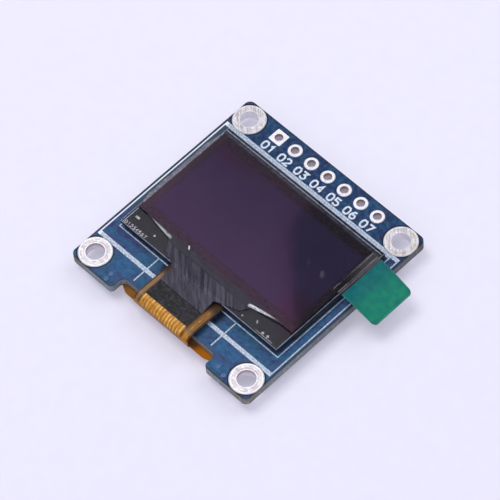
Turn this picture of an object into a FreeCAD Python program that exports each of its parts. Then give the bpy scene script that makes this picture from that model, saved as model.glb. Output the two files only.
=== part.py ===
# Small graphic display module: a glass display panel taped to the front of a square circuit board.
# The panel's flexible cable runs off the glass, folds round a notch in the board's lower edge and
# is soldered to a row of contacts behind it. Millimetres. The origin is the centre of the four
# mounting holes on the board's back face, +X runs along the pin row, +Y points to the pins and
# +Z points out of the display.
import FreeCAD, Part
import math
import os

# Circuit board
BOARD_T = 1.2
BOARD_CORNER_R = 0.75
NOTCH_W = 14.4
NOTCH_DEPTH = 1.9
NOTCH_INNER_R = 0.7
NOTCH_LIP_R = 0.5

# Plated holes: the wall in a hole is as thick as the metal on both faces at its rim
PLATING = 0.05
RIM_SLOPE = 0.06
MOUNT_BORE_R = 1.1
MOUNT_RING_W = 0.78
MOUNT_GAP = 0.52
MOUNT_EDGE_X = 0.02
MOUNT_EDGE_Y = 0.12
PIN_COUNT = 7
PIN_PITCH = 2.54
PIN_BORE_R = 0.5
PIN_RING_W = 0.35
PIN_EDGE = 0.61
PIN_SQUARE_R = 0.12

# Display panel, from the board outwards
TAPE_T = 0.15
TAPE_INSET = 0.6
REAR_GLASS_T = 0.5
SEAL_T = 0.05
SEAL_W = 0.9
GLASS_T = 0.55
POLARIZER_T = 0.2
PANEL_H = 16.7
PANEL_LEFT = 1.605
PANEL_RIGHT = 1.545
PANEL_TOP = 4.85
PANEL_BOTTOM = 6.25
CAVITY_DEPTH = 0.25
CAVITY_INSET = 1.6
DESICCANT_T = 0.12
DESICCANT_INSET = 1.0
POLARIZER_LEFT = 0.32
POLARIZER_RIGHT = 0.18
POLARIZER_TOP = 0.97
POLARIZER_LAP = 0.12
ACTIVE_SIDE = 0.955
ACTIVE_END = 1.145
ACTIVE_T = 0.02

# Driver chip under the glass ledge
CHIP_W = 6.76
CHIP_H = 0.86
CHIP_T = 0.3
CHIP_DROP = 0.4
CHIP_GAP = 0.34

# Flexible cable
FLEX_T = 0.1
NECK_W = 8.3
NECK_SHIFT = -0.15
BOND_H = 1.1
BOND_STRAIGHT = 0.3
NECK_RISE = 0.15
NECK_BEND_R = 3.0
FOLD_REACH = 1.25
FOLD_FLAT = 0.06
TAIL_SIDE = 0.19
TAIL_END = 3.1
SHOULDER_REACH = 0.95
SHOULDER_HALF = 6.0
SHOULDER_DROP = 1.82
SHOULDER_R = 0.5
BAND_LEFT = 0.72
BAND_RIGHT = 1.18
INK_T = 0.02
INK_START = 2.2
INK_FOLD_GAP = 0.1

# Contacts behind the board
CONTACT_COUNT = 30
CONTACT_PITCH = 0.62
CONTACT_W = 0.34
CONTACT_LAP = 1.4
CONTACT_TOE = 0.9
CONTACT_T = 0.04
SOLDER_H = 0.16
SOLDER_RIDGE = 0.3

# Protective film with its pull tab
FILM_T = 0.08
FILM_SLOPE = 0.7
FILM_BEND_R = 0.25
SHOULDER_OUT = 1.45
SHOULDER_IN = 5.4
WAIST_IN = 6.2
TONGUE_LAP = 0.06
TAB_T = 0.08
TAB_LAP = 0.75
TAB_FLAT = 1.3
TAB_REACH = 4.15
TAB_DROOP = 1.3
TAB_BEND_R = 6.0
TAB_H = 6.2
TAB_OVER = 0.02
TAB_TAPER = 0.15
TAB_CORNER_R = 0.75

# Printed lines
INK_LINE_T = 0.02
LINE_W = 0.15
BAND_W = 0.5
FRAME_EDGE = 0.35
BAND_TOP = 4.07
BAND_LOW = 4.15
PANEL_GAP = 0.2
TICK_X = 6.0
TICK_GAP = 0.4
RING_CLEAR = 0.12

# Small parts soldered to the back
PAD_T = 0.04
CHIP_PART_L = 1.6
CHIP_PART_W = 0.8
CHIP_END_L = 0.35
CHIP_BEVEL = 0.06
CAPACITOR_T = 0.8
RESISTOR_T = 0.45
BODY_INSET = 0.03
LAND_L = 0.8
LAND_W = 0.9
LAND_SPAN = 2.4
CAPACITOR_COUNT = 6
CAPACITOR_PITCH = 2.6
CAPACITOR_GAP = 1.9
ROW_STEP = 5.1
RESISTOR_SITES = 8
RESISTOR_PITCH = 2.0
RESISTOR_EDGE = 4.75
OPEN_SITES = (0, 1, 4, 6)
MARK_GAP = 0.2
MARK_W = 0.12

# Voltage regulator in a three-lead package
REGULATOR_GAP = 1.6
REGULATOR_L = 2.9
REGULATOR_W = 1.3
REGULATOR_T = 1.0
REGULATOR_STAND = 0.08
REGULATOR_DRAFT = 0.08
LEAD_T = 0.15
LEAD_W = 0.42
LEAD_PITCH = 1.9
LEAD_REACH = 0.2
LEAD_FOOT = 0.35
LEAD_BEND_R = 0.12

# Heights over the board's back face
front = BOARD_T
tape_top = front + TAPE_T
rear_glass_top = tape_top + REAR_GLASS_T
ledge_under = rear_glass_top + SEAL_T
glass_top = ledge_under + GLASS_T
polarizer_top = glass_top + POLARIZER_T
film_top = polarizer_top + FILM_T
land_face = -PAD_T

# The mounting rings stand clear of the pin row and of the cable's wide end, and the board's sides
# follow them. Its height is the panel's with a margin at each end.
mount_ring_r = MOUNT_BORE_R + MOUNT_RING_W
pin_pad_r = PIN_BORE_R + PIN_RING_W
tail_half = (CONTACT_PITCH * (CONTACT_COUNT - 1) + CONTACT_W) / 2 + TAIL_SIDE
row_half = PIN_PITCH * (PIN_COUNT - 1) / 2 + pin_pad_r
hole_x = max(row_half, tail_half) + MOUNT_GAP + mount_ring_r
board_x = hole_x + mount_ring_r + MOUNT_EDGE_X
board_y = (PANEL_BOTTOM + PANEL_H + PANEL_TOP) / 2
hole_y = board_y - MOUNT_EDGE_Y - mount_ring_r
pin_y = board_y - PIN_EDGE - pin_pad_r
notch_edge = -board_y + NOTCH_DEPTH
tail_end = notch_edge + TAIL_END

# Edges of the panel's layers. The ledge at its foot holds the cable's end and the driver chip.
panel_left = -board_x + PANEL_LEFT
panel_right = board_x - PANEL_RIGHT
panel_low = -board_y + PANEL_BOTTOM
panel_high = panel_low + PANEL_H
ledge_y = panel_low + BOND_H + CHIP_GAP + CHIP_H + CHIP_DROP
polarizer_left = panel_left + POLARIZER_LEFT
polarizer_right = panel_right - POLARIZER_RIGHT
polarizer_low = ledge_y - POLARIZER_LAP
polarizer_high = panel_high - POLARIZER_TOP
film_foot = panel_low - INK_START + TONGUE_LAP
neck_left = NECK_SHIFT - NECK_W / 2
neck_right = NECK_SHIFT + NECK_W / 2
band_left = neck_left + BAND_LEFT
band_right = neck_right - BAND_RIGHT

# Rows of small parts on the back, placed from the contacts and from the board's side
capacitor_y = tail_end + CONTACT_TOE + CAPACITOR_GAP + LAND_SPAN / 2
resistor_y = capacitor_y + ROW_STEP
resistor_x = -board_x + RESISTOR_EDGE
last_site_x = resistor_x + RESISTOR_PITCH * (RESISTOR_SITES - 1)
regulator_x = last_site_x + LAND_W / 2 + REGULATOR_GAP + REGULATOR_L / 2
lead_toe = REGULATOR_W / 2 + LEAD_REACH + LEAD_FOOT

# Height of the cable's middle layer at the glass, at the top of its fold and behind the board
bond_mid = ledge_under - FLEX_T / 2
fold_mid = bond_mid + NECK_RISE
tail_mid = -CONTACT_T - FLEX_T / 2
fold_out = notch_edge - FOLD_REACH + FLEX_T / 2
fold_r = (fold_mid - tail_mid - FOLD_FLAT) / 2
neck_start = panel_low - BOND_STRAIGHT
neck_slope = math.atan2(fold_mid - bond_mid, neck_start - fold_out)
fold_start = fold_out + fold_r * math.tan(math.pi / 4 + neck_slope / 2)


def in_yz(a, b):
    return FreeCAD.Vector(0, a, b)


def in_xz(a, b):
    return FreeCAD.Vector(a, 0, b)


def in_xy(a, b):
    return FreeCAD.Vector(a, b, 0)


def unit(a, b):
    """The direction from one point of a plane to another."""
    length = math.hypot(b[0] - a[0], b[1] - a[1])
    return (b[0] - a[0]) / length, (b[1] - a[1]) / length


def turn_at(points, i):
    """The angle by which a line turns to the left at one of its corners."""
    before = unit(points[i - 1], points[i])
    after = unit(points[i], points[i + 1])
    cross = before[0] * after[1] - before[1] * after[0]
    return math.atan2(cross, before[0] * after[0] + before[1] * after[1])


def shifted(points, gap):
    """The same open line moved to its left by a gap, with mitred corners."""
    moved = []
    last = len(points) - 1
    for i, p in enumerate(points):
        before = unit(points[max(i, 1) - 1], points[max(i, 1)])
        after = unit(points[min(i, last - 1)], points[min(i, last - 1) + 1])
        side = (-before[1] - after[1], before[0] + after[0])
        share = gap / (side[1] * before[0] - side[0] * before[1])
        moved.append((p[0] + side[0] * share, p[1] + side[1] * share))
    return moved


def rounded_line(points, radii, place):
    """Straight and arc edges along an open line, each inner corner rounded to its radius."""
    edges = []
    start = points[0]
    for i in range(1, len(points) - 1):
        p = points[i]
        before = unit(points[i - 1], p)
        after = unit(p, points[i + 1])
        half = abs(turn_at(points, i)) / 2
        r = radii[i - 1]
        if r <= 0 or half < 1e-6:
            edges.append(Part.LineSegment(place(*start), place(*p)).toShape())
            start = p
            continue
        reach = r * math.tan(half)
        inward = unit(before, after)
        depth = r / math.cos(half) - r
        enter = (p[0] - before[0] * reach, p[1] - before[1] * reach)
        leave = (p[0] + after[0] * reach, p[1] + after[1] * reach)
        middle = (p[0] + inward[0] * depth, p[1] + inward[1] * depth)
        if math.hypot(enter[0] - start[0], enter[1] - start[1]) > 1e-6:
            edges.append(Part.LineSegment(place(*start), place(*enter)).toShape())
        edges.append(Part.Arc(place(*enter), place(*middle), place(*leave)).toShape())
        start = leave
    edges.append(Part.LineSegment(place(*start), place(*points[-1])).toShape())
    return edges


def face_of(edges):
    return Part.Face(Part.Wire(Part.__sortEdges__(edges)))


def outline_face(points, radii, place=in_xy):
    """A flat face inside a closed outline with rounded corners."""
    first, last = points[0], points[-1]
    middle = ((first[0] + last[0]) / 2, (first[1] + last[1]) / 2)
    return face_of(rounded_line([middle] + list(points) + [middle], radii, place))


def polygon_face(points, place=in_xy):
    """A flat face inside a closed outline with sharp corners."""
    return Part.Face(Part.makePolygon([place(*p) for p in list(points) + [points[0]]]))


def sheet_face(points, radii, thickness, place):
    """The section of a thin sheet that follows an open line with rounded bends."""
    edges = []
    ends = []
    for side in (1, -1):
        line = shifted(points, side * thickness / 2)
        fitted = []
        for i, r in enumerate(radii):
            turn = turn_at(points, i + 1)
            fitted.append(r - side * math.copysign(thickness / 2, turn))
        edges += rounded_line(line, fitted, place)
        ends.append((line[0], line[-1]))
    for a, b in zip(ends[0], ends[1]):
        edges.append(Part.LineSegment(place(*a), place(*b)).toShape())
    return face_of(edges)


def plate(x0, x1, y0, y1, z0, z1):
    """A flat plate between two corners."""
    return Part.makeBox(x1 - x0, y1 - y0, z1 - z0, FreeCAD.Vector(x0, y0, z0))


def prism(points, radii, z0, z1):
    """An outline in plan, raised from one height to another."""
    face = outline_face(points, radii)
    face.translate(FreeCAD.Vector(0, 0, z0))
    return face.extrude(FreeCAD.Vector(0, 0, z1 - z0))


def rectangle(x0, x1, y0, y1):
    return [(x0, y0), (x1, y0), (x1, y1), (x0, y1)]


def fused(solids):
    """One solid out of touching or crossing ones, without the seams between them."""
    return solids[0].multiFuse(solids[1:]).removeSplitter()


def board_outline():
    """The square with the notch in its lower edge, and the radius of each corner."""
    n = NOTCH_W / 2
    left = [(-board_x, board_y), (-board_x, -board_y), (-n, -board_y), (-n, notch_edge)]
    right = [(-x, y) for x, y in reversed(left)]
    radii = [BOARD_CORNER_R, BOARD_CORNER_R, NOTCH_LIP_R, NOTCH_INNER_R]
    return left + right, radii + radii[::-1]


def mount_places():
    return [(-hole_x, hole_y), (hole_x, hole_y), (-hole_x, -hole_y), (hole_x, -hole_y)]


def centred_row(count, pitch):
    """Places along X of a row whose middle is at the board's middle."""
    return [(i - (count - 1) / 2) * pitch for i in range(count)]


def pin_places():
    return [(x, pin_y) for x in centred_row(PIN_COUNT, PIN_PITCH)]


def circuit_board():
    """The laminate, drilled for the plated holes."""
    points, radii = board_outline()
    board = prism(points, radii, 0, BOARD_T)
    drills = [(x, y, MOUNT_BORE_R) for x, y in mount_places()]
    drills += [(x, y, PIN_BORE_R) for x, y in pin_places()]
    for x, y, bore in drills:
        board = board.cut(Part.makeCylinder(bore + PLATING, BOARD_T, FreeCAD.Vector(x, y, 0)))
    return board


def round_plating(x, y, bore_r, pad_r):
    """Metal in a hole: a thin barrel with a ring on each face that slopes down at its rim."""
    low, high = -PLATING, BOARD_T + PLATING
    barrel = bore_r + PLATING
    section = [
        (bore_r, low),
        (bore_r, high),
        (pad_r - RIM_SLOPE, high),
        (pad_r, BOARD_T),
        (barrel, BOARD_T),
        (barrel, 0),
        (pad_r, 0),
        (pad_r - RIM_SLOPE, low),
    ]
    face = polygon_face(section, in_xz)
    ring = face.revolve(FreeCAD.Vector(0, 0, 0), FreeCAD.Vector(0, 0, 1), 360)
    ring.translate(FreeCAD.Vector(x, y, 0))
    return ring


def square_plating(x, y, bore_r, pad_r):
    """The first pin's metal, with a square pad on each face."""
    low, high = -PLATING, BOARD_T + PLATING
    centre = FreeCAD.Vector(x, y, 0)
    square = rectangle(x - pad_r, x + pad_r, y - pad_r, y + pad_r)
    pads = [prism(square, [PIN_SQUARE_R] * 4, z0, z1) for z0, z1 in ((low, 0), (BOARD_T, high))]
    barrel = Part.makeCylinder(bore_r + PLATING, BOARD_T, centre)
    bore = Part.makeCylinder(bore_r, high - low, centre + FreeCAD.Vector(0, 0, low))
    return fused(pads + [barrel]).cut(bore)


def glass_plate(y0, y1, z0, z1):
    """A plate of the panel's full width."""
    return plate(panel_left, panel_right, y0, y1, z0, z1)


def display_tape():
    """The double-sided tape that holds the panel to the board."""
    return inner_plate(TAPE_INSET, front, tape_top)


def inner_plate(inset, z0, z1):
    """A plate as large as the rear glass less an inset all round."""
    left, right = panel_left + inset, panel_right - inset
    return plate(left, right, ledge_y + inset, panel_high - inset, z0, z1)


def rear_glass():
    """The cover glass behind the display, with an etched pocket."""
    sheet = glass_plate(ledge_y, panel_high, tape_top, rear_glass_top)
    return sheet.cut(inner_plate(CAVITY_INSET, rear_glass_top - CAVITY_DEPTH, rear_glass_top))


def desiccant_sheet():
    """The drying sheet stuck to the floor of the pocket."""
    floor = rear_glass_top - CAVITY_DEPTH
    return inner_plate(CAVITY_INSET + DESICCANT_INSET, floor, floor + DESICCANT_T)


def edge_seal():
    """The bead of glue that joins the two glasses round their rim."""
    bead = glass_plate(ledge_y, panel_high, rear_glass_top, ledge_under)
    return bead.cut(inner_plate(SEAL_W, rear_glass_top, ledge_under))


def oled_layer():
    """The light-making layers on the inner face of the front glass, as large as the picture."""
    left, right = polarizer_left + ACTIVE_SIDE, polarizer_right - ACTIVE_SIDE
    low, high = polarizer_low + ACTIVE_END, polarizer_high - ACTIVE_END
    return plate(left, right, low, high, ledge_under - ACTIVE_T, ledge_under)


def front_glass():
    return glass_plate(panel_low, panel_high, ledge_under, glass_top)


def polarizer():
    return plate(polarizer_left, polarizer_right, polarizer_low, polarizer_high,
                 glass_top, polarizer_top)


def driver_chip():
    """The bare chip bonded under the glass ledge, between the rear glass and the cable."""
    high = ledge_y - CHIP_DROP
    left = (panel_left + panel_right - CHIP_W) / 2
    return plate(left, left + CHIP_W, high - CHIP_H, high, ledge_under - CHIP_T, ledge_under)


def flex_line():
    """The cable's middle layer in side view, from the glass round the fold to the solder row."""
    points = [
        (panel_low + BOND_H, bond_mid),
        (neck_start, bond_mid),
        (fold_out, fold_mid),
        (fold_out, tail_mid),
        (tail_end, tail_mid),
    ]
    return points, [NECK_BEND_R, fold_r, fold_r]


def tail_outline():
    """The wide end of the cable in plan. Its shoulders stand out of the notch on both sides of the
    neck, and then slope away behind the board."""
    low = notch_edge - SHOULDER_REACH
    out = notch_edge - 2 * FOLD_REACH
    side = [(tail_half, tail_end), (tail_half, low + SHOULDER_DROP), (SHOULDER_HALF, low)]
    left = [(-x, y) for x, y in side] + [(neck_left, low), (neck_left, out)]
    right = side + [(neck_right, low), (neck_right, out)]
    radii = [SHOULDER_R / 2, SHOULDER_R, 2 * SHOULDER_R, 0, 0]
    return left + right[::-1], radii + radii[::-1]


def flex_cable():
    """One sheet: a narrow neck from the glass over the fold, and the wide tail behind the board."""
    points, radii = flex_line()
    section = sheet_face(points, radii, FLEX_T, in_yz)
    section.translate(FreeCAD.Vector(-tail_half, 0, 0))
    sheet = section.extrude(FreeCAD.Vector(2 * tail_half, 0, 0))
    middle = (fold_mid + tail_mid) / 2
    low = tail_mid - FLEX_T
    high = fold_mid + FLEX_T
    out = fold_out - FLEX_T
    neck = plate(neck_left, neck_right, out, panel_low + BOND_H, middle, high)
    outline, corner_radii = tail_outline()
    tail = prism(outline, corner_radii, low, middle)
    return sheet.common(fused([neck, tail]))


def neck_height(y):
    """Height of the neck's front face at a place between the glass and the fold."""
    middle = bond_mid + (neck_start - y) * math.tan(neck_slope)
    return middle + FLEX_T / 2 / math.cos(neck_slope)


def flex_ink():
    """The dark printed patch on the neck, over the cable's conductors."""
    lift = INK_T / 2 / math.cos(neck_slope)
    ends = (panel_low - INK_START, fold_start + INK_FOLD_GAP)
    section = sheet_face([(y, neck_height(y) + lift) for y in ends], [], INK_T, in_yz)
    section.translate(FreeCAD.Vector(band_left, 0, 0))
    return section.extrude(FreeCAD.Vector(band_right - band_left, 0, 0))


def flex_contacts():
    """The row of contacts on the board's back, half under the tail."""
    low, high = tail_end - CONTACT_LAP, tail_end + CONTACT_TOE
    half = CONTACT_W / 2
    return Part.makeCompound([plate(x - half, x + half, low, high, -CONTACT_T, 0)
                              for x in centred_row(CONTACT_COUNT, CONTACT_PITCH)])


def solder_joints():
    """A wedge of solder on each contact, highest against the end of the tail."""
    face, top = -CONTACT_T, -CONTACT_T - SOLDER_H
    profile = [(tail_end, face), (tail_end, top), (tail_end + SOLDER_RIDGE, top),
               (tail_end + CONTACT_TOE, face)]
    beads = []
    for x in centred_row(CONTACT_COUNT, CONTACT_PITCH):
        section = polygon_face(profile, in_yz)
        section.translate(FreeCAD.Vector(x - CONTACT_W / 2, 0, 0))
        beads.append(section.extrude(FreeCAD.Vector(CONTACT_W, 0, 0)))
    return Part.makeCompound(beads)


def film_outline():
    """The film in plan: the polarizer's rectangle and a tongue that narrows onto the cable."""
    waist_low = panel_low - BOND_STRAIGHT
    waist_high = panel_low + FILM_SLOPE
    slope_low = polarizer_low - FILM_SLOPE
    return [
        (polarizer_left, polarizer_high),
        (polarizer_left, polarizer_low),
        (polarizer_left + SHOULDER_OUT, polarizer_low),
        (polarizer_left + SHOULDER_IN, slope_low),
        (polarizer_left + WAIST_IN, waist_high),
        (band_left, waist_low),
        (band_left, film_foot),
        (band_right, film_foot),
        (band_right, waist_low),
        (polarizer_right - WAIST_IN, waist_high),
        (polarizer_right - SHOULDER_IN, slope_low),
        (polarizer_right - SHOULDER_OUT, polarizer_low),
        (polarizer_right, polarizer_low),
        (polarizer_right, polarizer_high),
    ]


def protective_film():
    """A clear film on the polarizer that steps down to the glass and then to the cable."""
    half = FILM_T / 2
    # The sloping stretches start past the edges that they come down from
    start = polarizer_low - FILM_BEND_R / 2
    edge = panel_low - FILM_BEND_R / 2
    line = [
        (polarizer_high, polarizer_top + half),
        (start, polarizer_top + half),
        (start - FILM_SLOPE, glass_top + half),
        (edge, glass_top + half),
        (film_foot, neck_height(film_foot) + half),
    ]
    section = sheet_face(line, [FILM_BEND_R] * 3, FILM_T, in_yz)
    section.translate(FreeCAD.Vector(polarizer_left, 0, 0))
    sheet = section.extrude(FreeCAD.Vector(polarizer_right - polarizer_left, 0, 0))
    cutter = polygon_face(film_outline())
    cutter.translate(FreeCAD.Vector(0, 0, front))
    return sheet.common(cutter.extrude(FreeCAD.Vector(0, 0, film_top + FILM_T - front)))


def pull_tab():
    """The coloured tab stuck on the film's right edge, bent down past the board."""
    flat = film_top + TAB_T / 2
    start = polarizer_right - TAB_LAP
    bend = polarizer_right + TAB_FLAT
    end = bend + TAB_REACH
    section = sheet_face([(start, flat), (bend, flat), (end, flat - TAB_DROOP)],
                         [TAB_BEND_R], TAB_T, in_xz)
    high = polarizer_high + TAB_OVER
    low = high - TAB_H
    section.translate(FreeCAD.Vector(0, low, 0))
    sheet = section.extrude(FreeCAD.Vector(0, TAB_H, 0))
    outline = [(start, low), (end + TAB_T, low + TAB_TAPER), (end + TAB_T, high - TAB_TAPER),
               (start, high)]
    return sheet.common(prism(outline, [0, TAB_CORNER_R, TAB_CORNER_R, 0],
                              flat - 2 * TAB_DROOP, flat + TAB_T))


def printed_line(x0, x1, y0, y1):
    return plate(x0, x1, y0, y1, front, front + INK_LINE_T)


def printed_frame(left, right, low, high, side_w, end_w):
    """Four printed lines round a rectangle that is given on the lines' middles."""
    s, e = side_w / 2, end_w / 2
    return [
        printed_line(left - s, left + s, low - e, high + e),
        printed_line(right - s, right + s, low - e, high + e),
        printed_line(left - s, right + s, low - e, low + e),
        printed_line(left - s, right + s, high - e, high + e),
    ]


def silkscreen_front():
    """The printed frame, the outline in which the panel is laid and two short marks by the cable."""
    x = board_x - FRAME_EDGE
    half = LINE_W / 2
    low = panel_low - half
    frame = printed_frame(-x, x, -board_y + BAND_LOW, board_y - BAND_TOP, LINE_W, BAND_W)
    panel = printed_frame(panel_left - PANEL_GAP, panel_right + PANEL_GAP,
                          low, panel_high + 2 * PANEL_GAP, LINE_W, LINE_W)
    ticks = [printed_line(t - half, t + half, notch_edge + TICK_GAP, low)
             for t in (-TICK_X, TICK_X)]
    ink = fused(frame + ticks + panel)
    for hx, hy in mount_places():
        centre = FreeCAD.Vector(hx, hy, front)
        ink = ink.cut(Part.makeCylinder(mount_ring_r + RING_CLEAR, INK_LINE_T, centre))
    return ink


def on_back(shape, x, y):
    """A small part made standing at the origin, turned over and set on the back's lands."""
    placed = shape.copy()
    placed.rotate(FreeCAD.Vector(0, 0, 0), FreeCAD.Vector(0, 1, 0), 180)
    placed.translate(FreeCAD.Vector(x, y, land_face))
    return placed


def chip_ends(height):
    """The two metal ends of a chip part that lies along Y."""
    w, l = CHIP_PART_W / 2, CHIP_PART_L / 2
    ends = []
    for y0, y1 in ((-l, -l + CHIP_END_L), (l - CHIP_END_L, l)):
        block = plate(-w, w, y0, y1, 0, height)
        long_edges = [e for e in block.Edges if abs(e.tangentAt(e.FirstParameter).y) > 0.9]
        ends.append(block.makeChamfer(CHIP_BEVEL, long_edges))
    return Part.makeCompound(ends)


def chip_body(height):
    """The ceramic between the ends, a little smaller all round."""
    w, l = CHIP_PART_W / 2 - BODY_INSET, CHIP_PART_L / 2 - CHIP_END_L
    return plate(-w, w, -l, l, BODY_INSET, height - BODY_INSET)


def capacitor_places():
    return [(x, capacitor_y) for x in centred_row(CAPACITOR_COUNT, CAPACITOR_PITCH)]


def resistor_sites():
    return [(resistor_x + i * RESISTOR_PITCH, resistor_y) for i in range(RESISTOR_SITES)]


def resistor_places():
    return [place for i, place in enumerate(resistor_sites()) if i not in OPEN_SITES]


def lead_places():
    """The regulator's three leads: where each stands along the body and which side it leaves."""
    return [(-LEAD_PITCH / 2, -1), (LEAD_PITCH / 2, -1), (0, 1)]


def component_lands():
    """The bare metal lands under every small part, those of the open resistor sites too."""
    lands = []
    reach = (LAND_SPAN - LAND_L) / 2
    for x, y in capacitor_places() + resistor_sites():
        for side in (-1, 1):
            middle = y + side * reach
            lands.append(plate(x - LAND_W / 2, x + LAND_W / 2,
                               middle - LAND_L / 2, middle + LAND_L / 2, land_face, 0))
    for x, side in lead_places():
        cx = regulator_x - x
        cy = resistor_y + side * (lead_toe - LEAD_FOOT / 2)
        lands.append(plate(cx - LAND_W / 2, cx + LAND_W / 2,
                           cy - LAND_L / 2, cy + LAND_L / 2, land_face, 0))
    return Part.makeCompound(lands)


def regulator_body():
    """The moulded package, widest at its parting line."""
    w, d = REGULATOR_W / 2, REGULATOR_DRAFT
    low, high = REGULATOR_STAND, REGULATOR_STAND + REGULATOR_T
    middle = (low + high) / 2
    section = [(w - d, low), (w, middle), (w - d, high), (d - w, high), (-w, middle), (d - w, low)]
    face = polygon_face(section, in_yz)
    face.translate(FreeCAD.Vector(-REGULATOR_L / 2, 0, 0))
    return on_back(face.extrude(FreeCAD.Vector(REGULATOR_L, 0, 0)), regulator_x, resistor_y)


def regulator_leads():
    """Three leads bent down from the parting line to the lands."""
    root = REGULATOR_W / 2
    knee = lead_toe - LEAD_FOOT
    middle = REGULATOR_STAND + REGULATOR_T / 2
    line = [(root, middle), (knee, middle), (knee, LEAD_T / 2), (lead_toe, LEAD_T / 2)]
    leads = []
    for x, side in lead_places():
        section = sheet_face([(side * a, b) for a, b in line], [LEAD_BEND_R] * 2, LEAD_T, in_yz)
        section.translate(FreeCAD.Vector(x - LEAD_W / 2, 0, 0))
        leads.append(section.extrude(FreeCAD.Vector(LEAD_W, 0, 0)))
    return on_back(Part.makeCompound(leads), regulator_x, resistor_y)


def silkscreen_back():
    """Printed side lines by every small part's place."""
    marks = []
    half_l = CHIP_PART_L / 2
    out = LAND_W / 2 + MARK_GAP
    for x, y in capacitor_places() + resistor_sites():
        for side in (-1, 1):
            middle = x + side * out
            marks.append(plate(middle - MARK_W / 2, middle + MARK_W / 2,
                               y - half_l, y + half_l, -INK_LINE_T, 0))
    for side in (-1, 1):
        middle = regulator_x + side * (REGULATOR_L / 2 + MARK_GAP)
        marks.append(plate(middle - MARK_W / 2, middle + MARK_W / 2,
                           resistor_y - REGULATOR_W / 2, resistor_y + REGULATOR_W / 2,
                           -INK_LINE_T, 0))
    return Part.makeCompound(marks)


def all_parts():
    """Every node of the module by name."""
    parts = {"printed_circuit_board": circuit_board()}
    for i, (x, y) in enumerate(mount_places(), 1):
        parts[f"mount_plating_{i}"] = round_plating(x, y, MOUNT_BORE_R, mount_ring_r)
    for i, (x, y) in enumerate(pin_places(), 1):
        plating = square_plating if i == 1 else round_plating
        parts[f"header_plating_{i}"] = plating(x, y, PIN_BORE_R, pin_pad_r)
    parts["silkscreen_front"] = silkscreen_front()
    parts["silkscreen_back"] = silkscreen_back()
    parts["display_tape"] = display_tape()
    parts["rear_glass"] = rear_glass()
    parts["desiccant_sheet"] = desiccant_sheet()
    parts["edge_seal"] = edge_seal()
    parts["oled_layer"] = oled_layer()
    parts["front_glass"] = front_glass()
    parts["polarizer"] = polarizer()
    parts["driver_chip"] = driver_chip()
    parts["flex_cable"] = flex_cable()
    parts["flex_ink"] = flex_ink()
    parts["flex_contacts"] = flex_contacts()
    parts["solder_joints"] = solder_joints()
    parts["protective_film"] = protective_film()
    parts["pull_tab"] = pull_tab()
    parts["component_lands"] = component_lands()
    parts["regulator_body"] = regulator_body()
    parts["regulator_leads"] = regulator_leads()
    for i, (x, y) in enumerate(capacitor_places(), 1):
        parts[f"capacitor_body_{i}"] = on_back(chip_body(CAPACITOR_T), x, y)
        parts[f"capacitor_ends_{i}"] = on_back(chip_ends(CAPACITOR_T), x, y)
    for i, (x, y) in enumerate(resistor_places(), 1):
        parts[f"resistor_body_{i}"] = on_back(chip_body(RESISTOR_T), x, y)
        parts[f"resistor_ends_{i}"] = on_back(chip_ends(RESISTOR_T), x, y)
    return parts


def main():
    os.makedirs("parts", exist_ok=True)
    for name, shape in all_parts().items():
        shape.exportStep(f"parts/{name}.step")


main()
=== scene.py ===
"""Looks of the small display module: finishes for every carried-over solid, and the fine pieces on them.

Sizes are in millimetres and turned into metres where an object is made. The frame is the part's
own: +X along the pin row, +Y to the pins, +Z out of the display, zero at the board's back face.
"""
import bmesh
import bpy
import math
from mathutils import Matrix, Vector


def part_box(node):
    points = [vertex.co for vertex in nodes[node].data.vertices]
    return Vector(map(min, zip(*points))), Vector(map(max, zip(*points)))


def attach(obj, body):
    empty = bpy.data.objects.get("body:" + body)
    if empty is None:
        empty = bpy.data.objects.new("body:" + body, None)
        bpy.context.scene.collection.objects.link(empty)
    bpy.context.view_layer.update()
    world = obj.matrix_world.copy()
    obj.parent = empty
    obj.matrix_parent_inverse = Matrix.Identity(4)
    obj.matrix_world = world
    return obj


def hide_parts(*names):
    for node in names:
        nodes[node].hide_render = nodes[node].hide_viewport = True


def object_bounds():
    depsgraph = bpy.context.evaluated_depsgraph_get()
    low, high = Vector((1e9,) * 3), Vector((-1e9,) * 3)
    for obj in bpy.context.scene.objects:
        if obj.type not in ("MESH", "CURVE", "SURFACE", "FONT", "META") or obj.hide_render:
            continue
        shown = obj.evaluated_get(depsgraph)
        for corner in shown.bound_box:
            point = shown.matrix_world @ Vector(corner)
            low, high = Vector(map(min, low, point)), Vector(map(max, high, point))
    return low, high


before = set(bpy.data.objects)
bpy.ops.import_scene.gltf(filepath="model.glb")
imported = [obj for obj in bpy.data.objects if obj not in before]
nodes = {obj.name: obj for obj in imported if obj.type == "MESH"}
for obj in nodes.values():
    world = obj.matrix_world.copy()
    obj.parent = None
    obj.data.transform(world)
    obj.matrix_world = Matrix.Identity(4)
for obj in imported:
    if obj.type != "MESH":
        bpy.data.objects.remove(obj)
cad_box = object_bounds()

MM = 0.001

# Camera: viewing direction in degrees, distance, and the picture angle as a focal length
CAMERA_AZIMUTH = 50.30
CAMERA_ELEVATION = 57.64
CAMERA_ROLL = -6.08
CAMERA_DISTANCE = 443.2
CAMERA_TARGET = (0.47, -0.15, 1.2)
CAMERA_FOCAL_PIXELS = 4060
PICTURE_PIXELS = 500
SENSOR = 36.0

# Studio: colour of floor and sky, their strengths, and the card over the display
PALE = (0.853, 0.827, 1.0)
FLOOR_GLOW = 0.38
FLOOR_GAP = 0.02
FLOOR_REACH = 4000
SKY_SEEN = 0.98
SKY_LIGHT = 0.43
CARD_HEIGHT = 900
CARD_REACH = 13
CARD_TURN = math.radians(43)


def corners(node):
    """A node's lowest and highest corner in millimetres."""
    low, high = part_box(node)
    return low / MM, high / MM


def middle(node):
    low, high = corners(node)
    return (low + high) / 2


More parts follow.
